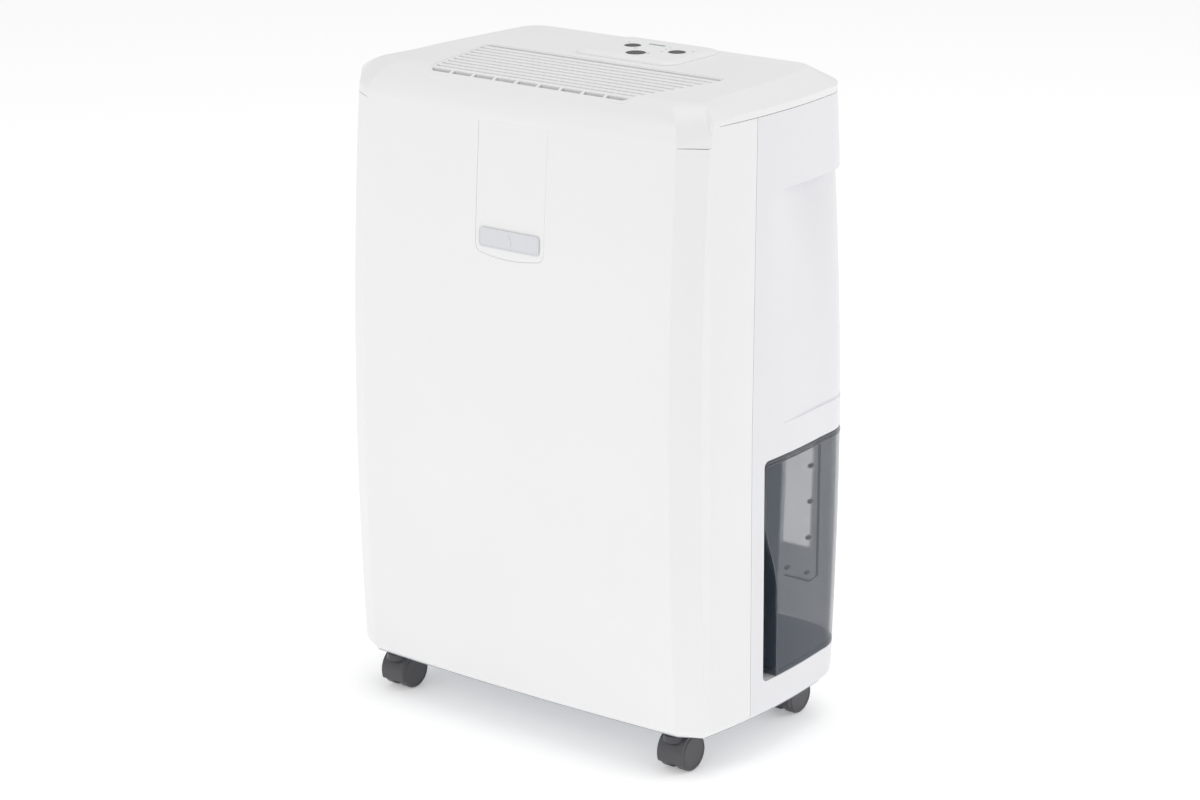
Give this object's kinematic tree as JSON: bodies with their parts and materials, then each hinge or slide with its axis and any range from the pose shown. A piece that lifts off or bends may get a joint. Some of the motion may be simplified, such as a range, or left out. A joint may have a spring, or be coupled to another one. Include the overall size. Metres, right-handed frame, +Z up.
{
  "type": "dehumidifier",
  "caption": "Portable compressor dehumidifier on castors, with a smoked side tank, top air outlet grille, push-button panel and rear intake door.",
  "frame": {"origin": "on the floor, under the middle of the cabinet", "axes": "+Z up, the front faces -Y, the water tank slides out towards +X"},
  "size_m": [0.358, 0.2296, 0.527],
  "materials": {
    "white_abs": "satin moulded ABS",
    "cool_white_abs": "satin moulded ABS",
    "float_foam": "white foamed plastic",
    "capacitor_shell": "matt",
    "charcoal_nylon": "fine matt moulding",
    "charcoal_wheel": "satin moulding",
    "zinc_plated_steel": "bright zinc",
    "charcoal_button": "satin",
    "grey_polypropylene": "matt",
    "smoked_plastic": "clear smoked polystyrene, polished",
    "black_enamel": "semi-gloss enamel",
    "black_rubber": "matt",
    "copper": "drawn copper tube",
    "aluminium_fin": "thin bright fins",
    "circuit_board": "solder mask",
    "black_plastic": "matt",
    "filter_net": "fine woven net",
    "badge_silver": "silver lacquer",
    "indicator_lens": "clear"
  },
  "bodies": {
    "cabinet": {"accumulator": "black_enamel", "badge_plate": "badge_silver", "base_pan": "grey_polypropylene", "case_screw_1": "zinc_plated_steel", "case_screw_2": "zinc_plated_steel", "case_screw_3": "zinc_plated_steel", "case_screw_4": "zinc_plated_steel", "case_screw_5": "zinc_plated_steel", "compressor": "black_enamel", "compressor_grommet_1": "black_rubber", "compressor_grommet_2": "black_rubber", "compressor_grommet_3": "black_rubber", "condenser": "aluminium_fin", "control_board": "circuit_board", "control_panel": "white_abs", "cord_gland": "black_rubber", "discharge_pipe": "copper", "drip_tray": "grey_polypropylene", "evaporator": "aluminium_fin", "fan_motor": "zinc_plated_steel", "fan_scroll": "grey_polypropylene", "front_cover": "white_abs", "front_label_panel": "white_abs", "humidity_sensor": "circuit_board", "indicator_lens": "indicator_lens", "outlet_grille": "white_abs", "power_board": "circuit_board", "rear_housing": "cool_white_abs", "run_capacitor": "capacitor_shell", "suction_pipe": "copper", "tank_bay": "cool_white_abs", "tank_switch": "black_plastic", "top_cover": "white_abs"},
    "tank": {"water_tank": "smoked_plastic", "tank_lid": "smoked_plastic"},
    "float": {"tank_float": "float_foam"},
    "intake": {"intake_door": "cool_white_abs", "filter_frame": "black_plastic", "filter_mesh": "filter_net"},
    "fan": {"fan_wheel": "black_plastic", "fan_shaft": "zinc_plated_steel"},
    "mode_button": {"mode_button": "charcoal_button"},
    "power_button": {"power_button": "charcoal_button"},
    "fan_speed_button": {"fan_speed_button": "charcoal_button"},
    "castor_front_left": {"castor_hood_front_left": "charcoal_nylon", "castor_axle_front_left": "zinc_plated_steel"},
    "wheel_front_left_left": {"castor_wheel_front_left_left": "charcoal_wheel"},
    "wheel_front_left_right": {"castor_wheel_front_left_right": "charcoal_wheel"},
    "castor_front_right": {"castor_hood_front_right": "charcoal_nylon", "castor_axle_front_right": "zinc_plated_steel"},
    "wheel_front_right_left": {"castor_wheel_front_right_left": "charcoal_wheel"},
    "wheel_front_right_right": {"castor_wheel_front_right_right": "charcoal_wheel"},
    "castor_rear_left": {"castor_hood_rear_left": "charcoal_nylon", "castor_axle_rear_left": "zinc_plated_steel"},
    "wheel_rear_left_left": {"castor_wheel_rear_left_left": "charcoal_wheel"},
    "wheel_rear_left_right": {"castor_wheel_rear_left_right": "charcoal_wheel"},
    "castor_rear_right": {"castor_hood_rear_right": "charcoal_nylon", "castor_axle_rear_right": "zinc_plated_steel"},
    "wheel_rear_right_left": {"castor_wheel_rear_right_left": "charcoal_wheel"},
    "wheel_rear_right_right": {"castor_wheel_rear_right_right": "charcoal_wheel"}
  },
  "joints": [
    {"name": "tank_slide", "type": "slide", "parent": "cabinet", "child": "tank", "axis": [1, 0, 0], "range_m": [0, 0.16]},
    {"name": "float_lift", "type": "hinge", "parent": "tank", "child": "float", "pos_m": [0.06, 0.01, 0.224], "axis": [0, -1, 0], "range_deg": [0, 30]},
    {"name": "intake_tilt", "type": "hinge", "parent": "cabinet", "child": "intake", "pos_m": [0, 0.1134, 0.263], "axis": [-1, 0, 0], "range_deg": [0, 35]},
    {"name": "fan_spin", "type": "hinge", "parent": "cabinet", "child": "fan", "pos_m": [0, 0, 0.365], "axis": [0, 1, 0], "continuous": true},
    {"name": "mode_button_press", "type": "slide", "parent": "cabinet", "child": "mode_button", "axis": [0, 0, -1], "range_m": [0, 0.0012], "stiffness_N_per_m": 700, "springref_m": -0.0012},
    {"name": "power_button_press", "type": "slide", "parent": "cabinet", "child": "power_button", "axis": [0, 0, -1], "range_m": [0, 0.0012], "stiffness_N_per_m": 700, "springref_m": -0.0012},
    {"name": "fan_speed_button_press", "type": "slide", "parent": "cabinet", "child": "fan_speed_button", "axis": [0, 0, -1], "range_m": [0, 0.0012], "stiffness_N_per_m": 700, "springref_m": -0.0012},
    {"name": "swivel_front_left", "type": "hinge", "parent": "cabinet", "child": "castor_front_left", "pos_m": [-0.14, -0.088, 0.034], "axis": [0, 0, 1], "continuous": true},
    {"name": "wheel_spin_front_left_left", "type": "hinge", "parent": "castor_front_left", "child": "wheel_front_left_left", "pos_m": [-0.14, -0.078, 0.015], "axis": [1, 0, 0], "continuous": true},
    {"name": "wheel_spin_front_left_right", "type": "hinge", "parent": "castor_front_left", "child": "wheel_front_left_right", "pos_m": [-0.14, -0.078, 0.015], "axis": [1, 0, 0], "continuous": true},
    {"name": "swivel_front_right", "type": "hinge", "parent": "cabinet", "child": "castor_front_right", "pos_m": [0.14, -0.088, 0.034], "axis": [0, 0, 1], "continuous": true},
    {"name": "wheel_spin_front_right_left", "type": "hinge", "parent": "castor_front_right", "child": "wheel_front_right_left", "pos_m": [0.14, -0.078, 0.015], "axis": [1, 0, 0], "continuous": true},
    {"name": "wheel_spin_front_right_right", "type": "hinge", "parent": "castor_front_right", "child": "wheel_front_right_right", "pos_m": [0.14, -0.078, 0.015], "axis": [1, 0, 0], "continuous": true},
    {"name": "swivel_rear_left", "type": "hinge", "parent": "cabinet", "child": "castor_rear_left", "pos_m": [-0.14, 0.058, 0.034], "axis": [0, 0, 1], "continuous": true},
    {"name": "wheel_spin_rear_left_left", "type": "hinge", "parent": "castor_rear_left", "child": "wheel_rear_left_left", "pos_m": [-0.14, 0.068, 0.015], "axis": [1, 0, 0], "continuous": true},
    {"name": "wheel_spin_rear_left_right", "type": "hinge", "parent": "castor_rear_left", "child": "wheel_rear_left_right", "pos_m": [-0.14, 0.068, 0.015], "axis": [1, 0, 0], "continuous": true},
    {"name": "swivel_rear_right", "type": "hinge", "parent": "cabinet", "child": "castor_rear_right", "pos_m": [0.14, 0.058, 0.034], "axis": [0, 0, 1], "continuous": true},
    {"name": "wheel_spin_rear_right_left", "type": "hinge", "parent": "castor_rear_right", "child": "wheel_rear_right_left", "pos_m": [0.14, 0.068, 0.015], "axis": [1, 0, 0], "continuous": true},
    {"name": "wheel_spin_rear_right_right", "type": "hinge", "parent": "castor_rear_right", "child": "wheel_rear_right_right", "pos_m": [0.14, 0.068, 0.015], "axis": [1, 0, 0], "continuous": true}
  ]
}
